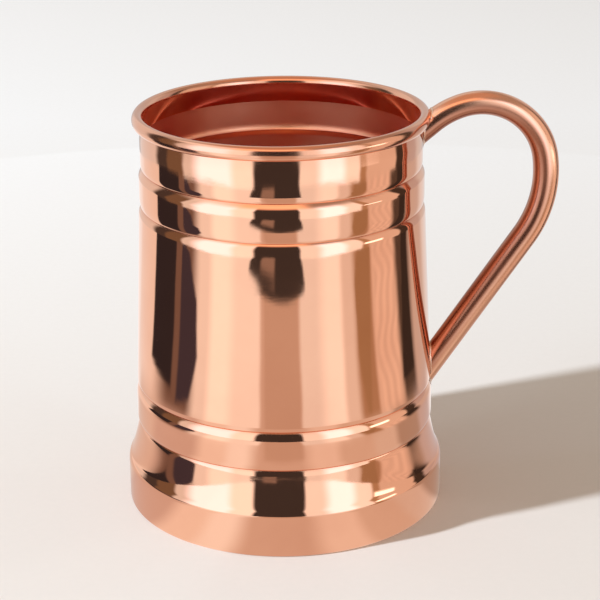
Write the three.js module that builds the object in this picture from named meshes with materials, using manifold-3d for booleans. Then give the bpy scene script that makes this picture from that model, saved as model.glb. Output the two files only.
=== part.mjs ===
// Copper tankard mug: a spun single-sheet body with four pressed grooves, a flared foot
// and a wired lip, a pressed base plate brazed into the foot, and a bent tube handle
// brazed to the wall under the lip and above the third groove.
// Millimetres, +Z up, origin on the mug's axis in the resting plane, handle towards +X.
import * as THREE from 'three';
import { mergeVertices } from 'three/addons/utils/BufferGeometryUtils.js';
import Module from 'manifold-3d';

// ---- driving dimensions ----------------------------------------------------
const GAP = 0.3;                 // clearance between neighbouring pieces
const SHEET = 1.0;               // wall sheet thickness
const TURNS = 40;                // segments round the mug

// Grooves from the top down: height and radius of the crease, height of the rounded
// edge below it (shoulder) and of the rounded edge above it (roll), the radius of the
// wall where each rounded edge ends (below and above), and the tilt of the wall below it.
// A tilt is in degrees from upright, positive where the outside faces up.
const GROOVES = [
  { z: 114.8, radius: 45.1, shoulder: 2.4, below: 46.35, roll: 2.4, above: 45.7, tilt: 0 },
  { z: 102.4, radius: 45.8, shoulder: 2.6, below: 46.75, roll: 3.9, above: 46.4, tilt: 2.5 },
  { z: 41.1, radius: 48.5, shoulder: 4.2, below: 49.6, roll: 2.1, above: 49.2, tilt: 0 },
  { z: 28.3, radius: 48.95, shoulder: 2.0, below: 49.45, roll: 2.3, above: 49.6, tilt: 10.7 },
];
const CREASE_TILT = 38;          // tilt of both edges of a groove where they meet

// Foot: an upright band with a rounded lower corner and a lower edge turned inwards. A
// hollow flare comes down from the last groove to a brow, and rounds over into the band.
const FOOT = { radius: 53.0, top: 13.3, corner: 1.2, bend: 0.5, edgeRadius: 50.3 };
const BROW = { radius: 52.3, z: 15.7, tilt: 33 };

// Rolled lip: the sheet thins and curls outwards round a wire into an oval bead.
const LIP = { radius: 46.1, z: 130.9, width: 3.7, height: 4.6, sheet: 0.85 };
const LIP_NECK = 127.3;          // height where the straight wall ends under the bead
const LIP_EDGE_ANGLE = -80;      // where the curled sheet stops, degrees
const WIRE_RADIUS = 0.7;

// Base plate: a disc flush with the foot, its rim stepped up onto the turned-in edge.
const PLATE = { sheet: 1.0, stepRadius: 50.0, corner: 0.6 };
const PLATE_RIM_UNDERSIDE = SHEET + GAP;
const PLATE_RIM_TOP = PLATE_RIM_UNDERSIDE + PLATE.sheet;
const PLATE_RIM_RADIUS = FOOT.radius - SHEET - GAP;

// Braze ring in the corner between plate and foot, with a hollowed face.
const SEAM = { leg: 1.8, hollow: 0.7 };

// Handle: a tube bent in one plane, slimmer over its crown than below it; the widening
// runs between two distances along it. It starts inside the wall line, at a heading in
// degrees above +X. Lead and tail are straight, and each bend gives the centreline
// radius and the turn in degrees towards the ground.
const HANDLE = {
  start: { x: 39.85, z: 121.0 },
  heading: 40,
  lead: 11.45,
  bends: [
    { radius: 28.1, turn: 21 },
    { radius: 21.2, turn: 100.6 },
    { radius: 37.9, turn: 42.5 },
  ],
  tail: 61.5,
  upperRadius: 3.9,
  lowerRadius: 4.25,
  widening: { from: 30, to: 65 },
  wall: 1.2,
  sides: 16,
};
const BEND_STEP = 8;             // degrees of bend between two rings of the tube
const BRAZE_SPREAD = 1.2;        // how far the braze reaches from the tube and the wall

const COPPER = { color: 0xc8764f, roughness: 0.16, metalness: 1 };
const PLATE_COPPER = { color: 0xb9603f, roughness: 0.25, metalness: 1 };
const BRAZE = { color: 0xd9a27c, roughness: 0.35, metalness: 1 };

// ---- helpers -----------------------------------------------------------------
const wasm = await Module();
wasm.setup();

const radians = THREE.MathUtils.degToRad;
const at = (radius, z) => new THREE.Vector2(radius, z);

function solidOf(geometry) {
  const bare = geometry.clone();
  bare.deleteAttribute('normal');
  bare.deleteAttribute('uv');
  const merged = mergeVertices(bare);
  return new wasm.Manifold(new wasm.Mesh({
    numProp: 3,
    vertProperties: new Float32Array(merged.attributes.position.array),
    triVerts: new Uint32Array(merged.index.array),
  }));
}

function geometryOf(solid) {
  const { vertProperties, triVerts } = solid.getMesh();
  const geometry = new THREE.BufferGeometry();
  geometry.setAttribute('position', new THREE.BufferAttribute(vertProperties, 3));
  geometry.setIndex(new THREE.BufferAttribute(triVerts, 1));
  geometry.computeVertexNormals();
  return geometry;
}

// The separate solids that a boolean leaves, largest first.
function pieces(solid) {
  return solid.decompose().sort((a, b) => b.volume() - a.volume());
}

// A ring or disc from a profile of (radius, height) points, turned about +Z.
function turned(points) {
  return new THREE.LatheGeometry(points, TURNS).rotateX(Math.PI / 2);
}

// Points of an oval arc about (radius, z) from one angle to another, in degrees.
function oval(centre, halfWidth, halfHeight, from, to, steps) {
  const curve = new THREE.EllipseCurve(
    centre.radius, centre.z, halfWidth, halfHeight, radians(from), radians(to), to < from);
  return curve.getPoints(steps);
}

function named(name, geometry, finish) {
  const mesh = new THREE.Mesh(geometry, new THREE.MeshStandardMaterial(finish));
  mesh.name = name;
  return mesh;
}

// ---- body shell ----------------------------------------------------------------
// A rounded edge between two points of the wall, as a quadratic curve that follows a
// given tilt at each of them.
function rounded(lower, lowerTilt, upper, upperTilt, steps) {
  const low = radians(lowerTilt);
  const high = radians(upperTilt);
  const rise = upper.clone().sub(lower);
  const reach = (rise.x * Math.cos(high) + rise.y * Math.sin(high)) / Math.sin(high - low);
  const corner = at(lower.x - reach * Math.sin(low), lower.y + reach * Math.cos(low));
  return new THREE.QuadraticBezierCurve(lower, corner, upper).getPoints(steps);
}

// Outside of the wall from the foot band up to the neck of the lip.
function wallOutside(steps) {
  const last = GROOVES[GROOVES.length - 1];
  const brow = at(BROW.radius, BROW.z);
  const flareTop = at(last.below, last.z - last.shoulder);
  const points = rounded(at(FOOT.radius, FOOT.top), 0, brow, BROW.tilt, steps);
  points.push(...rounded(brow, BROW.tilt, flareTop, last.tilt, steps + 1).slice(1, -1));
  let tiltAbove = 0;
  const edges = GROOVES.map(({ z, radius, shoulder, below, roll, above, tilt }) => {
    const crease = at(radius, z);
    const rim = rounded(crease, -CREASE_TILT, at(above, z + roll), tiltAbove, steps);
    tiltAbove = tilt;
    return [...rounded(at(below, z - shoulder), tilt, crease, CREASE_TILT, steps).slice(0, -1), ...rim];
  });
  points.push(...edges.reverse().flat(), at(GROOVES[0].above, LIP_NECK));
  return points;
}

// The sheet runs up the outside, round the hollow of the curl to the raw edge, back over
// the bead and down the inside, one sheet thickness in from the outside.
function bodyShell() {
  const outside = wallOutside(3);
  const inside = wallOutside(2).map((p) => at(p.x - SHEET, p.y)).reverse();
  const cornerCentre = { radius: FOOT.radius - FOOT.corner, z: FOOT.corner };
  const corner = oval(cornerCentre, FOOT.corner, FOOT.corner, -90, 0, 3);
  const halfWidth = LIP.width / 2;
  const halfHeight = LIP.height / 2;
  const hollow = oval(LIP, halfWidth - LIP.sheet, halfHeight - LIP.sheet, 180, LIP_EDGE_ANGLE, 7);
  const bead = oval(LIP, halfWidth, halfHeight, LIP_EDGE_ANGLE, 180, 9);
  const footInside = FOOT.radius - SHEET;
  return turned([
    at(FOOT.edgeRadius, 0),
    ...corner,
    ...outside,
    ...hollow,
    ...bead,
    ...inside,
    at(footInside, SHEET + FOOT.bend),
    at(footInside - FOOT.bend, SHEET),
    at(FOOT.edgeRadius, SHEET),
    at(FOOT.edgeRadius, 0),
  ]);
}

// ---- small turned pieces ---------------------------------------------------------
function rimWire() {
  return turned(oval(LIP, WIRE_RADIUS, WIRE_RADIUS, 0, 360, 8));
}

function basePlate() {
  const innerStep = PLATE.stepRadius - PLATE.sheet;
  return turned([
    at(0, 0),
    at(PLATE.stepRadius - PLATE.corner, 0),
    at(PLATE.stepRadius, PLATE.corner),
    at(PLATE.stepRadius, PLATE_RIM_UNDERSIDE),
    at(PLATE_RIM_RADIUS - PLATE.corner, PLATE_RIM_UNDERSIDE),
    at(PLATE_RIM_RADIUS, PLATE_RIM_UNDERSIDE + PLATE.corner),
    at(PLATE_RIM_RADIUS, PLATE_RIM_TOP),
    at(innerStep, PLATE_RIM_TOP),
    at(innerStep - PLATE.corner, PLATE.sheet),
    at(0, PLATE.sheet),
  ]);
}

function baseSeam() {
  const inner = PLATE_RIM_RADIUS - SEAM.leg;
  const bottom = PLATE_RIM_TOP + GAP;
  return turned([
    at(inner, bottom),
    at(PLATE_RIM_RADIUS, bottom),
    at(PLATE_RIM_RADIUS, bottom + SEAM.leg),
    at(inner + SEAM.hollow * 1.5, bottom + SEAM.hollow),
    at(inner, bottom),
  ]);
}

// ---- handle ------------------------------------------------------------------------
// The centreline as stretches of constant curvature, positive towards the ground.
const STRETCHES = [
  { length: HANDLE.lead, curvature: 0, turn: 0 },
  ...HANDLE.bends.map(({ radius, turn }) => ({
    length: radius * radians(Math.abs(turn)),
    curvature: Math.sign(turn) / radius,
    turn,
  })),
  { length: HANDLE.tail, curvature: 0, turn: 0 },
];
const HANDLE_LENGTH = STRETCHES.reduce((sum, stretch) => sum + stretch.length, 0);

// Place and heading on the centreline after a run of tube from its start.
function alongHandle(run) {
  let { x, z } = HANDLE.start;
  let heading = radians(HANDLE.heading);
  let left = run;
  for (const { length, curvature } of STRETCHES) {
    const step = Math.min(left, length);
    const next = heading - step * curvature;
    if (curvature === 0) {
      x += step * Math.cos(heading);
      z += step * Math.sin(heading);
    } else {
      x += (Math.sin(heading) - Math.sin(next)) / curvature;
      z += (Math.cos(next) - Math.cos(heading)) / curvature;
    }
    heading = next;
    left -= step;
  }
  return { x, z, heading };
}

// Runs at which the tube has a ring of vertices: its ends, and evenly round each bend.
function handleStations() {
  const stations = [];
  let run = 0;
  for (const { length, turn } of STRETCHES) {
    const steps = Math.max(1, Math.ceil(Math.abs(turn) / BEND_STEP));
    for (let i = 0; i < steps; i += 1) stations.push(run + (length * i) / steps);
    run += length;
  }
  stations.push(HANDLE_LENGTH);
  return stations;
}

// Side of the tube in the straight, before bending: (radius, run) points.
function tubeSide(growth) {
  return handleStations().map((run) => {
    const widened = THREE.MathUtils.smoothstep(run, HANDLE.widening.from, HANDLE.widening.to);
    return at(THREE.MathUtils.lerp(HANDLE.upperRadius, HANDLE.lowerRadius, widened) + growth, run);
  });
}

// A straight tube or bar, turned about its own axis and bent to the centreline.
function bent(profile) {
  const geometry = new THREE.LatheGeometry(profile, HANDLE.sides);
  const position = geometry.attributes.position;
  for (let i = 0; i < position.count; i += 1) {
    const { x, z, heading } = alongHandle(position.getY(i));
    const up = position.getX(i);
    const side = position.getZ(i);
    position.setXYZ(i, x - up * Math.sin(heading), side, z + up * Math.cos(heading));
  }
  return geometry;
}

function boredTube() {
  const outside = tubeSide(0);
  return bent([...outside, ...tubeSide(-HANDLE.wall).reverse(), outside[0]]);
}

function solidBar(growth) {
  return bent([at(0, 0), ...tubeSide(growth), at(0, HANDLE_LENGTH)]);
}

// Everything inside the body's outside grown by a distance, up to a top height. Above
// the middle of the bead the envelope stays as wide as the bead.
function bodyEnvelope(distance, top) {
  const beadUnderside = oval(
    LIP, LIP.width / 2 + distance, LIP.height / 2 + distance, -90, 0, 4);
  return turned([
    at(0, 0),
    at(FOOT.radius + distance, 0),
    ...wallOutside(3).map((p) => at(p.x + distance, p.y)),
    ...beadUnderside,
    at(LIP.radius + LIP.width / 2 + distance, top),
    at(0, top),
  ]);
}

// The tube's ends are coped to the wall, and the upper one also passes outside the bead.
function handleTube() {
  const aboveTube = LIP.z + 2 * LIP.height;
  const coped = solidOf(boredTube()).subtract(solidOf(bodyEnvelope(GAP, aboveTube)));
  return geometryOf(pieces(coped)[0]);
}

// Braze laid in the corner where the tube's outside meets the wall, upper joint first.
function brazeFillets() {
  const corners = solidOf(solidBar(BRAZE_SPREAD))
    .intersect(solidOf(bodyEnvelope(BRAZE_SPREAD, LIP.z + GAP)))
    .subtract(solidOf(solidBar(GAP)))
    .subtract(solidOf(bodyEnvelope(GAP, LIP.z + LIP.height)));
  const height = (solid) => solid.boundingBox().max[2];
  const joints = pieces(corners).slice(0, 2);
  return joints.sort((a, b) => height(b) - height(a)).map(geometryOf);
}

// ---- assembly ------------------------------------------------------------------------
const [upperFillet, lowerFillet] = brazeFillets();

const mug = new THREE.Group();
mug.add(
  named('body_shell', bodyShell(), COPPER),
  named('rim_wire', rimWire(), COPPER),
  named('base_plate', basePlate(), PLATE_COPPER),
  named('base_seam', baseSeam(), BRAZE),
  named('handle_tube', handleTube(), COPPER),
  named('upper_braze_fillet', upperFillet, BRAZE),
  named('lower_braze_fillet', lowerFillet, BRAZE),
);

export default mug;
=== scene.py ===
import math

import bpy
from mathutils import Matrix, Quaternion, Vector, noise


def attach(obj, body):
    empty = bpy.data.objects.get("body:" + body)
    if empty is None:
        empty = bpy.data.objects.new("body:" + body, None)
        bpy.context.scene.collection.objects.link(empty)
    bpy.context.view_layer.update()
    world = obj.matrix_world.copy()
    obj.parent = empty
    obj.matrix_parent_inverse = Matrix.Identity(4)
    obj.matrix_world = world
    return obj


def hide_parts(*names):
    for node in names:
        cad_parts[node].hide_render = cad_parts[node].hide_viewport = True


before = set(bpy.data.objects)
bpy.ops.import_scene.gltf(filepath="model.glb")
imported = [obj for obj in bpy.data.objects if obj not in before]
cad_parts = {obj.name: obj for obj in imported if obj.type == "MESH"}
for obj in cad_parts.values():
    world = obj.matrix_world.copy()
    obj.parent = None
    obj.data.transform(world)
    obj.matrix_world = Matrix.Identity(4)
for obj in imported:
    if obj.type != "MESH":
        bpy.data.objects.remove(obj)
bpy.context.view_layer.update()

# Polished copper tankard mug on a plain pale floor. Blender works in metres; the drawn
# sizes of the mug are in millimetres, as on the CAD drawing, and go through MM.
MM = 0.001

# ---- sizes of the mug, millimetres --------------------------------------------------
SHEET = 1.0

# Grooves from the top down: height and radius of the crease, height of the rounded
# edge below it and wall radius there, height of the edge above it and wall radius there,
# and the tilt of the wall below it: degrees from upright, positive where it faces up.
GROOVES = [
    {"z": 114.8, "radius": 45.1, "shoulder": 2.4, "below": 46.35, "roll": 2.4, "above": 45.7, "tilt": 0},
    {"z": 102.4, "radius": 45.8, "shoulder": 2.6, "below": 46.75, "roll": 3.9, "above": 46.4, "tilt": 2.5},
    {"z": 41.1, "radius": 48.5, "shoulder": 4.2, "below": 49.6, "roll": 2.1, "above": 49.2, "tilt": 0},
    {"z": 28.3, "radius": 48.95, "shoulder": 2.0, "below": 49.45, "roll": 2.3, "above": 49.6, "tilt": 10.7},
]
CREASE_TILT = 38
FOOT_RADIUS = 53.0
FOOT_TOP = 13.3
FOOT_CORNER = 1.2
FOOT_BEND = 0.5
FOOT_EDGE_RADIUS = 50.3
BROW = (52.3, 15.7)
BROW_TILT = 33

LIP_RADIUS = 46.1
LIP_HEIGHT = 130.9
LIP_HALF_WIDTH = 1.85
LIP_HALF_HEIGHT = 2.3
LIP_SHEET = 0.85
LIP_NECK = 127.3
LIP_EDGE_ANGLE = -80

PLATE_SHEET = 1.0
PLATE_STEP_RADIUS = 50.0
PLATE_RIM_RADIUS = 51.7
PLATE_RIM_UNDERSIDE = 1.3
PLATE_CORNER = 0.6
# First rings round the middle of the underside and the top, and the bend inside the step.
PLATE_UNDERSIDE_START = 6
PLATE_TOP_START = 5
PLATE_BEND = (0.2, 0.4, 1.4)
PLATE_TOP_END = 3
SEAM_LEG = 1.8
SEAM_HOLLOW = 0.3
SEAM_STEPS = 10

HANDLE_START = (39.85, 121.0)
HANDLE_HEADING = 40
HANDLE_LEAD = 11.45
HANDLE_BENDS = [(28.1, 21), (21.2, 100.6), (37.9, 42.5)]
HANDLE_TAIL = 61.5
HANDLE_UPPER_RADIUS = 3.9
HANDLE_LOWER_RADIUS = 4.25
HANDLE_WIDENING = (30, 65)
BRAZE_LEG = 0.7

# Braze: how uneven its width is and how often in a turn, how hollow its face, how far it
# stands off the tube, how deep its root goes, and the heights below and above the lip's
# middle over which it thins, by how much.
BRAZE_UNEVENNESS = 0.18
BRAZE_LUMPS = 3
BRAZE_LIFT = 0.03
BRAZE_ROOT = 0.3
BRAZE_HOLLOW = 0.35
BRAZE_FADE = (1.5, 0.5)
BRAZE_FADE_SHARE = 0.75

# Wear and painted shade: how far the painted shade of a crease reaches from it, how much of a
# crease's darkening the lip has as wear, where mouths and cloths rub it, and how much the braze has.
CREASE_REACH = 0.7
LIP_WEAR = 0.9
SEAM_WEAR = 0.3
BRAZE_WEAR = 0.2

# Slow unevenness of the sheet: its depth on the wall and on the handle, how often it goes
# up and down in a turn, and its length up the wall.
RIPPLE = 0.1
HANDLE_RIPPLE = 0.06
RIPPLE_TURNS = 2.2
RIPPLE_LENGTH = 26

# ---- fineness of the meshes ----------------------------------------------------------
SEGMENTS = 256
EDGE_STEPS = 12
FOOT_CORNER_STEPS = 8
CURL_STEPS = 24
BEAD_STEPS = 48
PLATE_CORNER_STEPS = 5
WALL_STEP = 2.5
HANDLE_SIDES = 64
HANDLE_RINGS = 220
BRAZE_STEPS = 8
COPE_HALVINGS = 40
SHARP_ANGLE = math.radians(40)

# ---- curves ----------------------------------------------------------------------------


def bezier(points, steps):
    """Points along a Bezier curve of any degree, from its control points."""
    curve = []
    for i in range(steps + 1):
        level = [Vector(p) for p in points]
        while len(level) > 1:
            level = [a.lerp(b, i / steps) for a, b in zip(level, level[1:])]
        curve.append(level[0])
    return curve


def oval(radius, z, half_width, half_height, start, end, steps):
    """Points of an oval arc about (radius, z), angles in degrees."""
    angles = [math.radians(start + (end - start) * i / steps) for i in range(steps + 1)]
    return [Vector((radius + half_width * math.cos(a), z + half_height * math.sin(a))) for a in angles]


def straight(start, end, step):
    """Points along a straight stretch without its end, so long walls get several rings."""
    count = max(1, round((Vector(end) - Vector(start)).length / step))
    return [Vector(start).lerp(Vector(end), i / count) for i in range(count)]


# ---- meshes ----------------------------------------------------------------------------


def finish_mesh(name, vertices, faces, grain, wear_and_shade):
    """Makes a smooth-shaded object with its grain, and its wear and painted shade, kept per vertex."""
    mesh = bpy.data.meshes.new(name)
    mesh.from_pydata([tuple(v) for v in vertices], [], faces)
    mesh.shade_smooth()
    mesh.set_sharp_from_angle(angle=SHARP_ANGLE)
    directions = mesh.attributes.new("grain", "FLOAT_VECTOR", "POINT")
    directions.data.foreach_set("vector", [c for g in grain for c in g])
    wear_and_shade_data = mesh.attributes.new("wear_and_shade", "FLOAT", "POINT")
    wear_and_shade_data.data.foreach_set("value", wear_and_shade)
    piece = bpy.data.objects.new(name, mesh)
    bpy.context.scene.collection.objects.link(piece)
    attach(piece, "root")
    return piece


def ripple(angle, z, depth):
    """Slow unevenness of hand-finished sheet, in millimetres, never outwards."""
    place = Vector((RIPPLE_TURNS * math.cos(angle), RIPPLE_TURNS * math.sin(angle), z / RIPPLE_LENGTH))
    return depth * (noise.noise(place) - 1) / 2


def lathe(name, profile, wear_and_shade, depth=0.0):
    """Turns a closed (radius, height) profile, or one that ends on the axis, about Z."""
    vertices, grain, wear_and_shade_data, rings = [], [], [], []
    run = 0.0
    for index, point in enumerate(profile):
        if index:
            run += (point - profile[index - 1]).length
        if point.x < 1e-6:
            rings.append([len(vertices)])
            vertices.append((0, 0, point.y * MM))
            grain.append((0, 0, run))
            wear_and_shade_data.append(wear_and_shade(point))
            continue
        rings.append(list(range(len(vertices), len(vertices) + SEGMENTS)))
        for k in range(SEGMENTS):
            angle = 2 * math.pi * k / SEGMENTS
            radius = point.x + ripple(angle, point.y, depth)
            vertices.append((radius * math.cos(angle) * MM, radius * math.sin(angle) * MM, point.y * MM))
            grain.append((math.cos(angle), math.sin(angle), run))
            wear_and_shade_data.append(wear_and_shade(point))
    faces = []
    closed = profile[0].x > 1e-6
    pairs = list(zip(rings, rings[1:])) + ([(rings[-1], rings[0])] if closed else [])
    for lower, upper in pairs:
        for k in range(SEGMENTS):
            j = (k + 1) % SEGMENTS
            corners = [ring[i % len(ring)] for ring, i in ((lower, k), (lower, j), (upper, j), (upper, k))]
            faces.append(tuple(dict.fromkeys(corners)))
    return finish_mesh(name, vertices, faces, grain, wear_and_shade_data)


# ---- body ------------------------------------------------------------------------------


def rounded(lower, lower_tilt, upper, upper_tilt, steps):
    """A rounded edge of the wall between two points, with the wall's tilt at each."""
    low, high = math.radians(lower_tilt), math.radians(upper_tilt)
    rise = Vector(upper) - Vector(lower)
    reach = (rise.x * math.cos(high) + rise.y * math.sin(high)) / math.sin(high - low)
    corner = (lower[0] - reach * math.sin(low), lower[1] + reach * math.cos(low))
    return bezier([lower, corner, upper], steps)


def wall_outside(inset):
    """Foot band, flare and grooved wall from the foot up to the neck, moved in by inset."""
    last = GROOVES[-1]
    flare_top = (last["below"], last["z"] - last["shoulder"])
    points = rounded((FOOT_RADIUS, FOOT_TOP), 0, BROW, BROW_TILT, EDGE_STEPS)
    points += rounded(BROW, BROW_TILT, flare_top, last["tilt"], 2 * EDGE_STEPS)[1:-1]
    tilts_above = [0, *(groove["tilt"] for groove in GROOVES[:-1])]
    for groove, tilt_above in reversed(list(zip(GROOVES, tilts_above))):
        z, crease = groove["z"], (groove["radius"], groove["z"])
        start = (groove["below"], z - groove["shoulder"])
        end = (groove["above"], z + groove["roll"])
        if groove is not last:
            points += straight(points.pop(), start, WALL_STEP)
        points += rounded(start, groove["tilt"], crease, CREASE_TILT, EDGE_STEPS)[:-1]
        points += rounded(crease, -CREASE_TILT, end, tilt_above, EDGE_STEPS)
    points += straight(points.pop(), (GROOVES[0]["above"], LIP_NECK), WALL_STEP)
    return [Vector((p[0] - inset, p[1])) for p in points]


def body_shade_and_wear(point):
    """How darkened and dulled the metal is: 1 in a crease, as painted shade, partly so on the lip, as wear,
    0 elsewhere.
    """
    gaps = [abs(point.y - groove["z"]) for groove in GROOVES]
    crease = max(0.0, 1.0 - min(gaps) / CREASE_REACH)
    lip = LIP_WEAR * smooth(point.y, LIP_NECK, LIP_HEIGHT)
    return max(crease, lip)


def make_body():
    outside = wall_outside(0)
    inside = list(reversed(wall_outside(SHEET)))
    corner = oval(
        FOOT_RADIUS - FOOT_CORNER, FOOT_CORNER, FOOT_CORNER, FOOT_CORNER, -90, 0, FOOT_CORNER_STEPS)
    band = straight(corner.pop(), outside[0], WALL_STEP)
    hollow = oval(
        LIP_RADIUS, LIP_HEIGHT, LIP_HALF_WIDTH - LIP_SHEET, LIP_HALF_HEIGHT - LIP_SHEET,
        180, LIP_EDGE_ANGLE, CURL_STEPS)
    bead = oval(
        LIP_RADIUS, LIP_HEIGHT, LIP_HALF_WIDTH, LIP_HALF_HEIGHT, LIP_EDGE_ANGLE, 180, BEAD_STEPS)
    foot_inside = FOOT_RADIUS - SHEET
    turned_edge = [
        Vector((foot_inside, SHEET + FOOT_BEND)), Vector((foot_inside - FOOT_BEND, SHEET)),
        Vector((FOOT_EDGE_RADIUS, SHEET))]
    outer = [Vector((FOOT_EDGE_RADIUS, 0)), *corner, *band, *outside, *hollow, *bead]
    profile = [*outer, *inside, *turned_edge]
    body = lathe("copper_body", profile, body_shade_and_wear, depth=RIPPLE)
    first_inside = len(outer) * SEGMENTS
    for face in body.data.polygons:
        face.material_index = 1 if face.index >= first_inside else 0
    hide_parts("body_shell")
    return body


def make_base_plate():
    inner_step = PLATE_STEP_RADIUS - PLATE_SHEET
    rim_top = PLATE_RIM_UNDERSIDE + PLATE_SHEET
    profile = [
        (0, 0),
        *straight((PLATE_UNDERSIDE_START, 0), (PLATE_STEP_RADIUS - PLATE_CORNER, 0), WALL_STEP),
        *bezier([
            (PLATE_STEP_RADIUS - PLATE_CORNER, 0), (PLATE_STEP_RADIUS, 0),
            (PLATE_STEP_RADIUS, PLATE_CORNER)], PLATE_CORNER_STEPS),
        (PLATE_STEP_RADIUS, PLATE_RIM_UNDERSIDE),
        *bezier([
            (PLATE_RIM_RADIUS - PLATE_CORNER, PLATE_RIM_UNDERSIDE),
            (PLATE_RIM_RADIUS, PLATE_RIM_UNDERSIDE),
            (PLATE_RIM_RADIUS, PLATE_RIM_UNDERSIDE + PLATE_CORNER)], PLATE_CORNER_STEPS),
        (PLATE_RIM_RADIUS, rim_top), (inner_step, rim_top),
        *bezier([
            (inner_step - PLATE_BEND[0], rim_top), (inner_step - PLATE_BEND[1], PLATE_SHEET),
            (inner_step - PLATE_BEND[2], PLATE_SHEET)], PLATE_CORNER_STEPS + 1),
        *straight((inner_step - PLATE_TOP_END, PLATE_SHEET), (PLATE_TOP_START, PLATE_SHEET), WALL_STEP),
        (0, PLATE_SHEET)]
    plate = lathe("copper_base_plate", [Vector(p) for p in profile], lambda point: 0.0)
    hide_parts("base_plate")
    return plate


def make_base_seam():
    bottom = PLATE_RIM_UNDERSIDE + PLATE_SHEET
    outer = FOOT_RADIUS - SHEET
    hollow = (outer - SEAM_HOLLOW, bottom + SEAM_HOLLOW)
    face = bezier([(outer, bottom + SEAM_LEG), hollow, (outer - SEAM_LEG, bottom)], SEAM_STEPS)
    profile = [Vector((outer, bottom)), *face]
    seam = lathe("base_braze_ring", profile, lambda point: SEAM_WEAR)
    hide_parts("base_seam")
    return seam


# ---- handle ------------------------------------------------------------------------------
STRETCHES = (
    [(HANDLE_LEAD, 0.0)]
    + [(radius * math.radians(abs(turn)), math.copysign(1 / radius, turn)) for radius, turn in HANDLE_BENDS]
    + [(HANDLE_TAIL, 0.0)])
HANDLE_LENGTH = sum(length for length, curvature in STRETCHES)


def along_handle(run):
    """Point and heading on the handle's centreline, in the XZ plane."""
    (x, z), heading, left = HANDLE_START, math.radians(HANDLE_HEADING), run
    for length, curvature in STRETCHES:
        step = min(left, length)
        after = heading - step * curvature
        if curvature:
            x += (math.sin(heading) - math.sin(after)) / curvature
            z += (math.cos(after) - math.cos(heading)) / curvature
        else:
            x += step * math.cos(heading)
            z += step * math.sin(heading)
        heading = after
        left -= step
    return x, z, heading


def tube_radius(run):
    """The tube is slimmer over the crown and widens smoothly below it."""
    start, end = HANDLE_WIDENING
    share = min(1.0, max(0.0, (run - start) / (end - start)))
    gain = HANDLE_LOWER_RADIUS - HANDLE_UPPER_RADIUS
    return HANDLE_UPPER_RADIUS + gain * share * share * (3 - 2 * share)


def on_tube(run, angle, growth=0.0):
    """Point on the tube's surface: angle 0 is the outer side of the loop."""
    x, z, heading = along_handle(run)
    radius = tube_radius(run) + growth
    up, side = radius * math.cos(angle), radius * math.sin(angle)
    return Vector((x - up * math.sin(heading), side, z + up * math.cos(heading)))


OUTSIDE = wall_outside(0)
BEAD = oval(LIP_RADIUS, LIP_HEIGHT, LIP_HALF_WIDTH, LIP_HALF_HEIGHT, -90, 90, 32)


def envelope_radius(z):
    """Radius of the body's outside at a height; above the bead's middle it stays as wide."""
    if z > LIP_HEIGHT:
        return LIP_RADIUS + LIP_HALF_WIDTH
    if z > LIP_HEIGHT - LIP_HALF_HEIGHT:
        rise = (LIP_HEIGHT - z) / LIP_HALF_HEIGHT
        return LIP_RADIUS + LIP_HALF_WIDTH * math.sqrt(max(0.0, 1 - rise * rise))
    for lower, upper in zip(OUTSIDE, OUTSIDE[1:]):
        if lower.y <= z <= upper.y and upper.y > lower.y:
            return lower.x + (upper.x - lower.x) * (z - lower.y) / (upper.y - lower.y)
    return GROOVES[0]["above"]


def outside_body(point, sink):
    return math.hypot(point.x, point.y) - envelope_radius(point.z) + sink > 0


def coped_run(angle, inner, outer, sink, growth=0.0):
    """Run at which the tube's side leaves the body, between a run inside it and one outside."""
    for _ in range(COPE_HALVINGS):
        middle = (inner + outer) / 2
        if outside_body(on_tube(middle, angle, growth), sink):
            outer = middle
        else:
            inner = middle
    return (inner + outer) / 2


# Runs between which each mitred end lies, from inside the body to outside it, and how far
# the ends go into the wall.
UPPER_SEARCH = (0.0, 16.0)
LOWER_SEARCH = (HANDLE_LENGTH, HANDLE_LENGTH - 40.0)
SINK = 0.35


def make_handle():
    vertices, grain, wear_and_shade_data, faces = [], [], [], []
    angles = [2 * math.pi * k / HANDLE_SIDES for k in range(HANDLE_SIDES)]
    starts = [coped_run(angle, *UPPER_SEARCH, SINK) for angle in angles]
    ends = [coped_run(angle, *LOWER_SEARCH, SINK) for angle in angles]
    for i in range(HANDLE_RINGS + 1):
        share = i / HANDLE_RINGS
        for angle, start, end in zip(angles, starts, ends):
            run = start + (end - start) * share
            vertices.append(on_tube(run, angle, ripple(angle, run / 2, HANDLE_RIPPLE)) * MM)
            grain.append((math.cos(angle), math.sin(angle), run))
            wear_and_shade_data.append(0.0)
    for i in range(HANDLE_RINGS):
        for k in range(HANDLE_SIDES):
            j = (k + 1) % HANDLE_SIDES
            low, high = i * HANDLE_SIDES, (i + 1) * HANDLE_SIDES
            faces.append((low + k, low + j, high + j, high + k))
    for ring, flip in ((0, True), (HANDLE_RINGS, False)):
        rim = list(range(ring * HANDLE_SIDES, (ring + 1) * HANDLE_SIDES))
        middle = sum((vertices[k] for k in rim), Vector()) / HANDLE_SIDES
        vertices.append(middle)
        grain.append((0, 0, 0))
        wear_and_shade_data.append(1.0)
        for k in range(HANDLE_SIDES):
            edge = (rim[k], rim[(k + 1) % HANDLE_SIDES])
            faces.append((*(edge[::-1] if flip else edge), len(vertices) - 1))
    handle = finish_mesh("copper_handle", vertices, faces, grain, wear_and_shade_data)
    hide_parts("handle_tube")
    return handle


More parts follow.
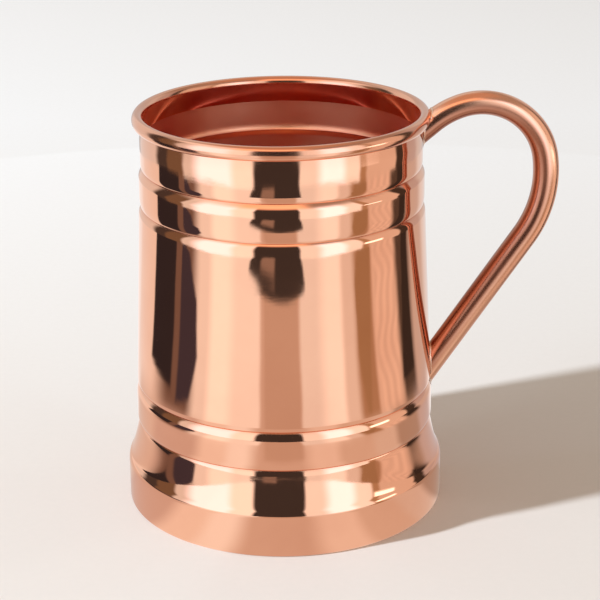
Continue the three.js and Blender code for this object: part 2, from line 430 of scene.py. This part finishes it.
def nearest_on_body(point):
    """Closest point of the wall or bead to a point outside it, in its own half-plane."""
    radius = math.hypot(point.x, point.y)
    flat = Vector((radius, point.z))
    outline = OUTSIDE + BEAD
    best = None
    for a, b in zip(outline, outline[1:]):
        edge = b - a
        if edge.length < 1e-9:
            continue
        share = min(1.0, max(0.0, (flat - a).dot(edge) / edge.length_squared))
        foot = a + edge * share
        if best is None or (foot - flat).length < (best - flat).length:
            best = foot
    return Vector((point.x * best.x / radius, point.y * best.x / radius, best.y))


def make_fillet(name, node, search, away):
    """A hollow-faced ring of braze in the corner between the tube and the wall."""
    vertices, grain, wear_and_shade_data, faces = [], [], [], []
    for k in range(HANDLE_SIDES):
        angle = 2 * math.pi * k / HANDLE_SIDES
        run = coped_run(angle, *search, 0.0)
        corner = on_tube(run, angle)
        around = Vector((BRAZE_LUMPS * math.cos(angle), BRAZE_LUMPS * math.sin(angle), away))
        leg = BRAZE_LEG * (1 + BRAZE_UNEVENNESS * noise.noise(around))
        on_side = on_tube(run + away * leg, angle, BRAZE_LIFT)
        leg *= 1 - BRAZE_FADE_SHARE * smooth(
            corner.z, LIP_HEIGHT - BRAZE_FADE[0], LIP_HEIGHT + BRAZE_FADE[1])
        outward = on_tube(run, angle, leg) - corner
        on_wall = on_tube(coped_run(angle, *search, 0.0, leg), angle, leg)
        middle = corner.lerp((on_side + on_wall) / 2, BRAZE_HOLLOW)
        face = bezier([on_side, middle, on_wall], BRAZE_STEPS)
        inside = corner.lerp(nearest_on_body(corner), 0.5) - outward * BRAZE_ROOT
        for place, point in enumerate([*face, inside]):
            vertices.append(point * MM)
            grain.append((math.cos(angle), math.sin(angle), place))
            wear_and_shade_data.append(BRAZE_WEAR)
    width = BRAZE_STEPS + 2
    for k in range(HANDLE_SIDES):
        j = (k + 1) % HANDLE_SIDES
        for i in range(width):
            n = (i + 1) % width
            quad = (k * width + i, j * width + i, j * width + n, k * width + n)
            faces.append(quad if away > 0 else quad[::-1])
    fillet = finish_mesh(name, vertices, faces, grain, wear_and_shade_data)
    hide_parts(node)
    return fillet


# ---- materials -----------------------------------------------------------------------------


class Nodes:
    """A few words for building a material's node tree."""

    def __init__(self, tree):
        self.tree = tree

    def add(self, kind, **settings):
        node = self.tree.nodes.new(kind)
        for name, value in settings.items():
            setattr(node, name, value)
        return node

    def put(self, source, target):
        if isinstance(source, bpy.types.NodeSocket):
            self.tree.links.new(source, target)
        else:
            target.default_value = source

    def math(self, operation, a, b=0.0, clamp=False):
        node = self.add("ShaderNodeMath", operation=operation, use_clamp=clamp)
        self.put(a, node.inputs[0])
        self.put(b, node.inputs[1])
        return node.outputs[0]

    def noise(self, vector, scale, detail, roughness=0.5):
        node = self.add("ShaderNodeTexNoise")
        self.put(vector, node.inputs["Vector"])
        node.inputs["Scale"].default_value = scale
        node.inputs["Detail"].default_value = detail
        node.inputs["Roughness"].default_value = roughness
        return node.outputs["Fac"]

    def stretch(self, vector, scale):
        node = self.add("ShaderNodeMapping")
        self.put(vector, node.inputs["Vector"])
        node.inputs["Scale"].default_value = scale
        return node.outputs["Vector"]

    def range(self, value, low, high, to_low, to_high):
        node = self.add("ShaderNodeMapRange")
        self.put(value, node.inputs["Value"])
        node.inputs["From Min"].default_value = low
        node.inputs["From Max"].default_value = high
        node.inputs["To Min"].default_value = to_low
        node.inputs["To Max"].default_value = to_high
        return node.outputs["Result"]

    def mix_colour(self, factor, a, b):
        node = self.add("ShaderNodeMix", data_type="RGBA")
        self.put(factor, node.inputs["Factor"])
        self.put(a, node.inputs[6])
        self.put(b, node.inputs[7])
        return node.outputs[2]

    def bump(self, height, strength, distance, normal=None):
        node = self.add("ShaderNodeBump")
        self.put(height, node.inputs["Height"])
        node.inputs["Strength"].default_value = strength
        node.inputs["Distance"].default_value = distance
        if normal is not None:
            self.put(normal, node.inputs["Normal"])
        return node.outputs["Normal"]


# Pattern sizes are in waves per metre, relief depths in millimetres.
CLOUD_SCALE = 34
SPECK_SCALE = 900
CLOUD_TARNISH = 0.22
# How much painted shade in the creases, and wear, darken the colour.
SHADE_AND_WEAR_TARNISH = 0.35
WEAR_DULLING = 0.12
LINE_DULLING = 0.25
WAVE_SCALES = (42, 130)
FINE_WAVES = 0.12
LINE_DEPTH = 0.02
SPECK_DEPTH = 0.003
SPECK_STRENGTH = 0.25
PAINTED_SHADE_WANDER = 0.12


def metal(name, colour, tarnish_and_shade, roughness, lines, line_scale, waviness=0.1, painted_shade=None):
    """Polished metal with fine lines along the grain, cloudy polish and creases darkened with painted
    shade.

    lines is how strongly the turning lines stand out, line_scale how they are stretched
    and waviness the height in millimetres of the slow unevenness of the sheet. The last argument
    is (axis, clean, shaded, amount): painted shade that sets in between two values of one axis of
    the grain, darkening one side of the piece.
    """
    material = bpy.data.materials.new(name)
    material.use_nodes = True
    nodes = Nodes(material.node_tree)
    shader = material.node_tree.nodes["Principled BSDF"]
    grain = nodes.add("ShaderNodeAttribute", attribute_name="grain").outputs["Vector"]
    wear_and_shade = nodes.add("ShaderNodeAttribute", attribute_name="wear_and_shade").outputs["Fac"]
    place = nodes.add("ShaderNodeTexCoord").outputs["Object"]

    clouds = nodes.noise(place, CLOUD_SCALE, 4, 0.55)
    specks = nodes.noise(place, SPECK_SCALE, 2)
    turned = nodes.noise(nodes.stretch(grain, line_scale), 1.0, 3, 0.6)

    cloudiness = nodes.range(clouds, 0.42, 0.72, 0.0, CLOUD_TARNISH)
    # Painted shade in the creases, and wear, darken the colour here.
    tarnish_and_shade_amount = nodes.math("ADD", cloudiness, nodes.math("MULTIPLY", wear_and_shade, SHADE_AND_WEAR_TARNISH), clamp=True)
    # Painted shade: one side of the piece is darkened toward the tarnish colour, standing in for shade and
    # dark reflections.
    if painted_shade:
        axis, clean, dark, amount = painted_shade
        across = nodes.add("ShaderNodeSeparateXYZ")
        nodes.put(grain, across.inputs[0])
        wander = nodes.range(clouds, 0.3, 0.7, -PAINTED_SHADE_WANDER, PAINTED_SHADE_WANDER)
        side = nodes.math("ADD", across.outputs[axis], wander)
        painted_shade_share = nodes.range(side, clean, dark, 0.0, amount)
        tarnish_and_shade_amount = nodes.math("ADD", tarnish_and_shade_amount, painted_shade_share, clamp=True)
    nodes.put(nodes.mix_colour(tarnish_and_shade_amount, (*colour, 1), (*tarnish_and_shade, 1)), shader.inputs["Base Color"])

    dull = nodes.range(clouds, 0.35, 0.75, roughness * 0.8, roughness * 1.5)
    dull = nodes.math("ADD", dull, nodes.math("MULTIPLY", turned, roughness * LINE_DULLING))
    dull = nodes.math("ADD", dull, nodes.math("MULTIPLY", wear_and_shade, WEAR_DULLING))
    nodes.put(dull, shader.inputs["Roughness"])

    broad, fine = [nodes.noise(place, scale, 1) for scale in WAVE_SCALES]
    waves = nodes.math("ADD", broad, nodes.math("MULTIPLY", fine, FINE_WAVES))
    relief = nodes.bump(waves, 1.0, waviness * MM)
    relief = nodes.bump(turned, lines, LINE_DEPTH * MM, relief)
    relief = nodes.bump(specks, SPECK_STRENGTH, SPECK_DEPTH * MM, relief)
    nodes.put(relief, shader.inputs["Normal"])
    shader.inputs["Metallic"].default_value = 1.0
    return material


COPPER_COLOUR = (0.95, 0.53, 0.36)
# Also the colour of the painted shade in the body's creases.
COPPER_TARNISH_AND_SHADE = (0.72, 0.33, 0.21)
# A lighter copy of the copper colour: painted light that brightens the inside of the cup.
INNER_LIGHTENED_COLOUR = (1.0, 0.55, 0.335)
# Purple of the painted shade on the cup's inner sides, and of its tarnish.
INNER_TARNISH_AND_SHADE = (0.80, 0.30, 0.28)
# Dark brown of the painted shade on the handle's side that faces the mug, and of its tarnish.
HANDLE_TARNISH_AND_SHADE = (0.40, 0.16, 0.10)
BASE_COLOUR = (0.9, 0.48, 0.33)
BASE_TARNISH = (0.62, 0.3, 0.2)
WIRE_COLOUR = (0.9, 0.5, 0.35)
BRAZE_COLOUR = (0.93, 0.66, 0.50)
BRAZE_TARNISH = (0.6, 0.42, 0.3)
# Painted shade: grain axis, where it is clean, where it is full, and how strong. Inside the cup it
# darkens all but the wall at +Y, and on the handle the side that faces the mug, as painted shade.
INNER_PAINTED_SHADE = ("Y", 0.8, 0.4, 0.7)
HANDLE_PAINTED_SHADE = ("X", 0.38, -0.1, 0.85)


def finish_materials(body, plate, seam, handle, fillets):
    round_lines = (5, 5, 9)
    long_lines = (26, 26, 0.35)
    outer = metal("polished_copper", COPPER_COLOUR, COPPER_TARNISH_AND_SHADE, 0.03, 0.04, round_lines, 0.10)
    inner = metal(
        "inner_copper", INNER_LIGHTENED_COLOUR, INNER_TARNISH_AND_SHADE, 0.31, 0.6, round_lines, 0.02, INNER_PAINTED_SHADE)
    body.data.materials.append(outer)
    body.data.materials.append(inner)
    handle.data.materials.append(
        metal("handle_copper", COPPER_COLOUR, HANDLE_TARNISH_AND_SHADE, 0.19, 0.15, long_lines, 0.06, HANDLE_PAINTED_SHADE))
    plate.data.materials.append(
        metal("base_copper", BASE_COLOUR, BASE_TARNISH, 0.22, 0.9, (4, 4, 6)))
    braze = metal("braze", BRAZE_COLOUR, BRAZE_TARNISH, 0.22, 0.5, (3, 3, 2))
    for piece in (seam, *fillets):
        piece.data.materials.append(braze)
    wire = bpy.data.objects["rim_wire"]
    drawn = metal("copper_wire", WIRE_COLOUR, COPPER_TARNISH_AND_SHADE, 0.25, 0.4, (3, 3, 1))
    wire.data.materials.clear()
    wire.data.materials.append(drawn)


# ---- stage -----------------------------------------------------------------------------------
# What the polished metal mirrors, as light relative to white paper. Azimuths are in
# degrees round the mug: 0 is towards the viewer and 90 towards the handle. A sector is
# (from, to, light), and neighbours blend across the space between them.
WALL_SECTORS = [
    (-180, -158, 0.62), (-150, -118, 0.85), (-110, -101, (0.075, 0.06, 0.055)),
    (-97, -83, (0.2, 0.135, 0.085)), (-79, -75, 0.85), (-62, -42, (1.7, 1.75, 2.1)), (-34, -23, 1.35),
    (-20, 12.2, (0.055, 0.047, 0.045)), (14.2, 24, 1.15), (33, 44, (1.8, 1.85, 2.2)), (52, 60, 1.25),
    (63, 66, (0.5, 0.33, 0.2)), (69, 98, (0.83, 0.68, 0.58)), (101, 109, (0.06, 0.045, 0.035)),
    (114, 128, (0.56, 0.5, 0.5)), (138, 148, 0.7), (156, 180, 0.62)]
CEILING_SECTORS = [
    (-180, -150, 0.75), (-130, -110, 0.62), (-92, -56, 1.15), (-30, 14, (1.5, 0.90, 0.60)),
    (30, 150, (0.42, 0.33, 0.27)), (165, 180, 0.75)]
ZENITH = (0.62, 0.38, 0.26)

# A low bright window: azimuths, elevations, light and how far its edges are blurred.
WINDOW_ACROSS = (63, 80)
WINDOW_UP = (-2.5, 6)
WINDOW_LIGHT = (2.5, 2.45, 2.4)
WINDOW_BLUR = 2.5

# Elevations over which the walls give way to the ceiling, and the ceiling to the zenith.
CEILING_RISE = (33, 50)
ZENITH_RISE = (55, 72)
NEAR_FLOOR_SECTORS = [
    (-180, -138, 1.0), (-126, -104, (0.78, 0.68, 0.62)), (-92, -62, (0.69, 0.57, 0.53)),
    (-50, -40, (0.98, 0.9, 0.85)), (-32, -26, 1.05), (-14, 8, (0.71, 0.58, 0.51)),
    (20, 30, (0.9, 0.8, 0.74)), (38, 54, (0.74, 0.62, 0.54)),
    (62, 74, (0.76, 0.68, 0.62)), (82, 100, (0.47, 0.38, 0.32)), (108, 122, (0.6, 0.54, 0.54)),
    (136, 180, 0.98)]
FAR_FLOOR_SECTORS = [
    (-180, -145, 1.02), (-138, -112, (0.96, 0.9, 0.86)), (-88, -72, (0.2, 0.135, 0.11)),
    (-62, -57, 0.98), (-50, -42, 1.3), (-32, -18, 1.08), (-15, 10, (0.7, 0.57, 0.5)),
    (13, 22, 0.95), (33, 40, 1.2), (45, 50, (0.86, 0.8, 0.76)), (56, 66, (0.46, 0.3, 0.19)),
    (70, 90, (0.85, 0.68, 0.58)), (96, 106, (0.1, 0.075, 0.06)),
    (114, 130, (0.64, 0.56, 0.52)), (142, 180, 0.82)]

# Dark flags, a table edge and a wooden board seen from above: corners in millimetres,
# light, and how far the edges are blurred.
FAR_FLOOR_START = (120, 170)
FLOOR_SHAPES = [
    ([(-26, -115), (-92, -372), (66, -372), (24, -115)], (0.62, 0.48, 0.40), 8),
    ([(-176, 72), (-520, 205), (-520, -30), (-176, -12)], (0.035, 0.03, 0.035), 10),
    ([(-165, -28), (-470, -78), (-470, -84), (-385, -120), (-300, -137), (-215, -108), (-165, -64)],
     (0.06, 0.05, 0.07), 9),
    ([(170, 56), (176, 10), (300, 46), (340, 108)], (0.045, 0.035, 0.03), 9),
    ([(290, 84), (290, 44), (520, 120), (520, 215), (340, 110)], (0.045, 0.035, 0.03), 9),
    ([(140, -80), (140, -96), (205, -148), (275, -214), (345, -238), (520, -262), (520, -205)],
     (0.40, 0.26, 0.15), 9),
    ([(-172, -368), (-172, -520), (104, -520), (104, -372)], (0.055, 0.047, 0.045), 8),
    ([(-116, -392), (-116, -450), (-44, -450), (-44, -392)], (0.32, 0.24, 0.2), 14)]

TENT_RADIUS = 450.0
TENT_CENTRE = 70.0
TENT_SECTORS = 360
TENT_FLOOR_STEP = 6.0
TENT_DOME_STEP = 1.5


def as_colour(light):
    return light if isinstance(light, tuple) else (light, light, light)


def blend(a, b, share):
    return tuple(p + (q - p) * share for p, q in zip(as_colour(a), as_colour(b)))


def smooth(value, low, high):
    share = min(1.0, max(0.0, (value - low) / (high - low)))
    return share * share * (3 - 2 * share)


def between(value, low, high):
    """1 between two limits and 0 outside them, blurred."""
    half = WINDOW_BLUR / 2
    return smooth(value, low - half, low + half) * (1 - smooth(value, high - half, high + half))


def by_azimuth(azimuth, sectors):
    for (a0, a1, light), (b0, b1, next_light) in zip(sectors, sectors[1:]):
        if azimuth < b0:
            return blend(light, next_light, smooth(azimuth, a1, b0))
    return as_colour(sectors[-1][2])


def cover(x, y, corners, blur):
    """1 on the inner side of every edge of an outline, 0 beyond any of them, blurred."""
    nearest = float("inf")
    area = sum(ax * by - bx * ay for (ax, ay), (bx, by) in zip(corners, corners[1:] + corners[:1]))
    side = 1 if area > 0 else -1
    for (ax, ay), (bx, by) in zip(corners, corners[1:] + corners[:1]):
        length = math.hypot(bx - ax, by - ay)
        nearest = min(nearest, side * ((bx - ax) * (y - ay) - (by - ay) * (x - ax)) / length)
    return smooth(nearest, -blur / 2, blur / 2)


BOARD_START = (68, 72)
BOARD_END = (96, 100)
BOARD_FAR = (110, 170)
WOOD_CONTRAST = 0.08
WOOD_STRIPES = 0.9


def wood(azimuth, reach):
    """Wavy stripes like wood grain, only between the azimuths of the board and far out."""
    board = smooth(azimuth, *BOARD_START) * (1 - smooth(azimuth, *BOARD_END)) * smooth(reach, *BOARD_FAR)
    wobble = 3.2 * math.sin(reach / 31) + 1.3 * math.sin(reach / 13 + 2)
    return 1 + WOOD_CONTRAST * board * math.sin((azimuth + wobble) * WOOD_STRIPES)


def floor_light(x, y):
    azimuth, reach = math.degrees(math.atan2(x, -y)), math.hypot(x, y)
    light = blend(by_azimuth(azimuth, NEAR_FLOOR_SECTORS), by_azimuth(azimuth, FAR_FLOOR_SECTORS),
                  smooth(reach, *FAR_FLOOR_START))
    for corners, colour, blur in FLOOR_SHAPES:
        light = blend(light, colour, cover(x, y, corners, blur))
    return tuple(c * wood(azimuth, reach) for c in light)


def dome_light(azimuth, elevation):
    light = blend(by_azimuth(azimuth, WALL_SECTORS), by_azimuth(azimuth, CEILING_SECTORS),
                  smooth(elevation, *CEILING_RISE))
    light = blend(light, ZENITH, smooth(elevation, *ZENITH_RISE))
    light = tuple(c * wood(azimuth, 4 * elevation) for c in light)
    return blend(light, WINDOW_LIGHT, between(azimuth, *WINDOW_ACROSS) * between(elevation, *WINDOW_UP))


def glowing(name):
    """Shines with the light kept on the mesh's vertices."""
    material = bpy.data.materials.new(name)
    material.use_nodes = True
    material.cycles.emission_sampling = "NONE"
    tree = material.node_tree
    tree.nodes.clear()
    nodes = Nodes(tree)
    glow = nodes.add("ShaderNodeEmission")
    light = nodes.add("ShaderNodeAttribute", attribute_name="light")
    nodes.put(light.outputs["Color"], glow.inputs["Color"])
    nodes.put(glow.outputs[0], nodes.add("ShaderNodeOutputMaterial").inputs["Surface"])
    return material


def stage_mesh(name, vertices, faces, material):
    mesh = bpy.data.meshes.new(name)
    mesh.from_pydata(vertices, [], faces)
    mesh.materials.append(material)
    piece = bpy.data.objects.new(name, mesh)
    bpy.context.scene.collection.objects.link(piece)
    return piece


def tent_part(name, rings, lights, material):
    """Rings of vertices, each a (radius, height) in millimetres, coloured by azimuth."""
    vertices, colours = [], []
    for radius, z, light_at in zip(*zip(*rings), lights):
        for k in range(TENT_SECTORS):
            azimuth = -180 + 360 * k / TENT_SECTORS
            x, y = radius * math.sin(math.radians(azimuth)), -radius * math.cos(math.radians(azimuth))
            vertices.append((x * MM, y * MM, z * MM))
            colours.extend((*light_at(azimuth, x, y), 1.0))
    faces = []
    for i in range(len(rings) - 1):
        for k in range(TENT_SECTORS):
            j = (k + 1) % TENT_SECTORS
            low, high = i * TENT_SECTORS, (i + 1) * TENT_SECTORS
            faces.append((low + k, low + j, high + j, high + k))
    part = stage_mesh(name, vertices, faces, material)
    part.data.attributes.new("light", "FLOAT_COLOR", "POINT").data.foreach_set("color", colours)
    # It shows only in reflections, so it never stands in a view or casts a shadow.
    part.visible_camera = False
    part.visible_diffuse = False
    part.visible_shadow = False
    part.visible_transmission = False


def make_tent():
    material = glowing("tent")
    count = round(TENT_RADIUS / TENT_FLOOR_STEP)
    floor_rings = [(max(1.0, TENT_RADIUS * i / count), 0.0) for i in range(count + 1)]
    floor_lights = [lambda azimuth, x, y: floor_light(x, y)] * len(floor_rings)
    tent_part("tent_floor", floor_rings, floor_lights, material)
    reach = math.hypot(TENT_RADIUS, TENT_CENTRE)
    lowest = -math.degrees(math.atan2(TENT_CENTRE, TENT_RADIUS))
    steps = round((90 - lowest) / TENT_DOME_STEP)
    elevations = [lowest + (89.5 - lowest) * i / steps for i in range(steps + 1)]
    dome_rings = [
        (reach * math.cos(math.radians(e)), TENT_CENTRE + reach * math.sin(math.radians(e)))
        for e in elevations]
    dome_lights = [lambda azimuth, x, y, e=e: dome_light(azimuth, e) for e in elevations]
    tent_part("tent_dome", dome_rings, dome_lights, material)


FLOOR_SIZE = 6.0
FLOOR_NEAR = (0.77, 0.728, 0.686)
FLOOR_FAR = (0.90, 0.905, 0.91)
FLOOR_SPECK = (0.6, 0.55, 0.5)
FLOOR_FADE = (0.0, 0.5)


def make_floor():
    """A matt table top, beige near the viewer and paler towards the back."""
    half = FLOOR_SIZE / 2
    material = bpy.data.materials.new("floor")
    material.use_nodes = True
    nodes = Nodes(material.node_tree)
    shader = material.node_tree.nodes["Principled BSDF"]
    place = nodes.add("ShaderNodeTexCoord").outputs["Object"]
    axes = nodes.add("ShaderNodeSeparateXYZ")
    nodes.put(place, axes.inputs[0])
    paleness = nodes.range(axes.outputs["Y"], *FLOOR_FADE, 0.0, 1.0)
    grain = nodes.range(nodes.noise(place, 400, 3), 0.3, 0.7, 0.0, 0.05)
    shade = nodes.mix_colour(paleness, (*FLOOR_NEAR, 1), (*FLOOR_FAR, 1))
    nodes.put(nodes.mix_colour(grain, shade, (*FLOOR_SPECK, 1)), shader.inputs["Base Color"])
    shader.inputs["Roughness"].default_value = 0.7
    corners = [(-half, -half, 0), (half, -half, 0), (half, half, 0), (-half, half, 0)]
    floor = stage_mesh("floor", corners, [(0, 1, 2, 3)], material)
    floor.visible_glossy = False


# The lamp's place and size are in metres and its power in watts.
KEY_PLACE = (-3.45, -1.42, 1.95)
KEY_AIM = (0, 0, 0.05)
KEY_SIZE = 0.26
KEY_POWER = 272
KEY_COLOUR = (0.82, 0.91, 1.0)
SKY_COLOUR = (1.0, 0.87, 0.745)
SKY_STRENGTH = 0.53


def area_light(name, place, aim, size, power, colour):
    lamp = bpy.data.lights.new(name, "AREA")
    lamp.shape = "DISK"
    lamp.size = size
    lamp.energy = power
    lamp.color = colour
    light = bpy.data.objects.new(name, lamp)
    light.location = place
    light.rotation_euler = (Vector(aim) - Vector(place)).to_track_quat("-Z", "Y").to_euler()
    light.visible_camera = False
    light.visible_glossy = False
    bpy.context.scene.collection.objects.link(light)


def make_lights():
    area_light("key", KEY_PLACE, KEY_AIM, KEY_SIZE, KEY_POWER, KEY_COLOUR)
    world = bpy.data.worlds.new("studio")
    world.use_nodes = True
    sky = world.node_tree.nodes["Background"]
    sky.inputs["Color"].default_value = (*SKY_COLOUR, 1)
    sky.inputs["Strength"].default_value = SKY_STRENGTH
    bpy.context.scene.world = world


# ---- camera ------------------------------------------------------------------------------------
CAMERA_PLACE = (0.0, -0.5824, 0.2798)
CAMERA_AIM = (0.0056, 0.0, 0.0679)
CAMERA_ROLL = math.radians(-0.46)
CAMERA_LENS = 111.9


def make_camera():
    camera = bpy.data.objects.new("camera", bpy.data.cameras.new("camera"))
    camera.data.lens = CAMERA_LENS
    camera.data.sensor_width = 36
    camera.data.clip_end = 20
    camera.location = CAMERA_PLACE
    gaze = (Vector(CAMERA_AIM) - Vector(CAMERA_PLACE)).to_track_quat("-Z", "Y")
    camera.rotation_mode = "QUATERNION"
    camera.rotation_quaternion = gaze @ Quaternion((0, 0, 1), CAMERA_ROLL)
    bpy.context.scene.collection.objects.link(camera)
    bpy.context.scene.camera = camera


# Light bounces many times between the mug's inner walls.
MIRROR_BOUNCES = 16

# ---- the scene -----------------------------------------------------------------------------------
make_camera()
make_floor()
make_tent()
make_lights()
bpy.context.scene.view_settings.view_transform = "Standard"
bpy.context.scene.cycles.max_bounces = MIRROR_BOUNCES
bpy.context.scene.cycles.glossy_bounces = MIRROR_BOUNCES

body = make_body()
plate = make_base_plate()
seam = make_base_seam()
handle = make_handle()
upper_fillet = make_fillet("upper_braze", "upper_braze_fillet", UPPER_SEARCH, 1)
lower_fillet = make_fillet("lower_braze", "lower_braze_fillet", LOWER_SEARCH, -1)
finish_materials(body, plate, seam, handle, (upper_fillet, lower_fillet))
